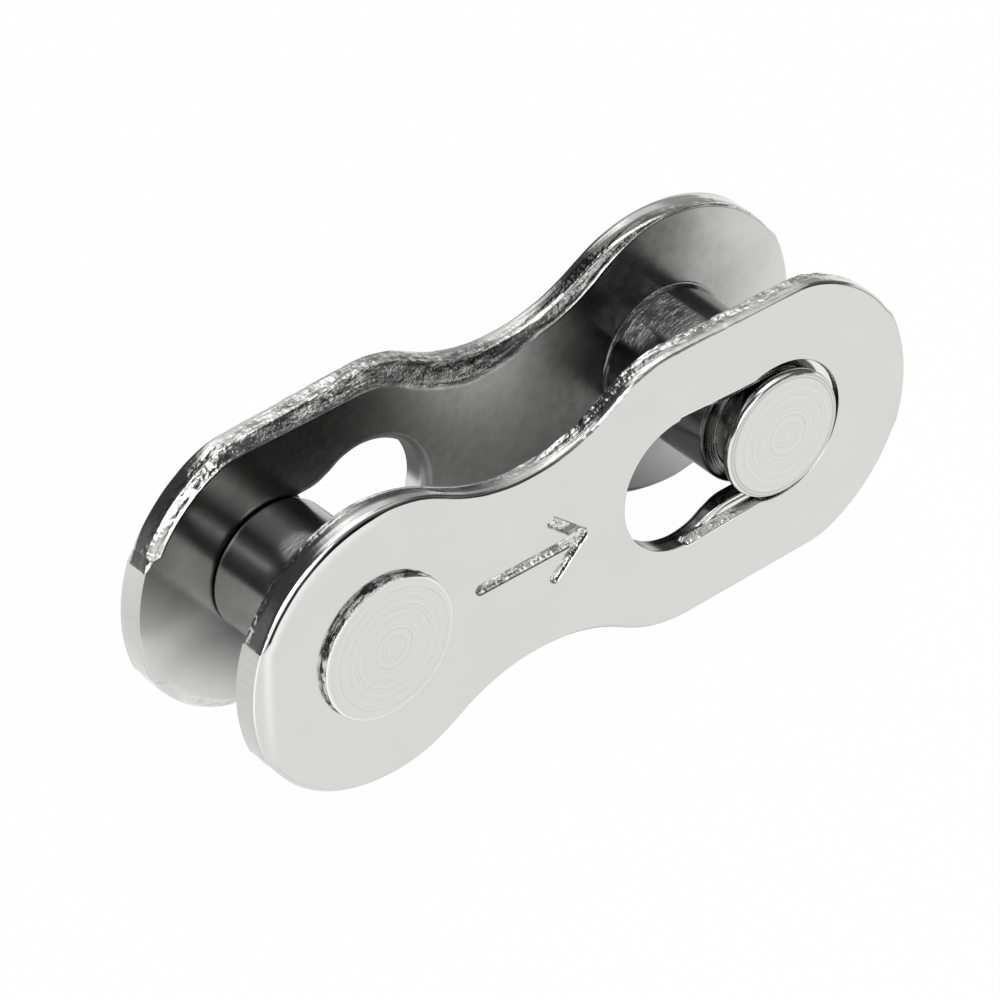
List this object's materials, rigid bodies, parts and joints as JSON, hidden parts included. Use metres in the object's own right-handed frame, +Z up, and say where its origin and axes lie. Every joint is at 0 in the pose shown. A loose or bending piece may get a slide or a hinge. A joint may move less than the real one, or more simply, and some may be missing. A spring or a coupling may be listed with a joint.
{
  "type": "chain connecting link",
  "caption": "Split connecting link for a bicycle roller chain: waisted plates with keyhole slots slide and lock onto grooved pins riveted in the opposite plate.",
  "frame": {"origin": "midway between the axes of the two pins, at mid width and mid height of the link", "axes": "+X along the chain, +Y across the chain from the front plate to the rear plate, +Z up"},
  "size_m": [0.021, 0.0056, 0.0082],
  "materials": {
    "plate_nickel": "stamped steel, satin nickel plating with bright rolled edges",
    "pin_nickel": "turned steel, polished nickel plating with fine turning rings"
  },
  "bodies": {
    "front_half": {"front_plate": "plate_nickel", "front_pin": "pin_nickel"},
    "rear_half": {"rear_plate": "plate_nickel", "rear_pin": "pin_nickel"}
  },
  "joints": [
    {"name": "unlock_slide", "type": "slide", "parent": "front_half", "child": "rear_half", "axis": [-1, 0, 0], "range_m": [0, 0.00306]}
  ]
}
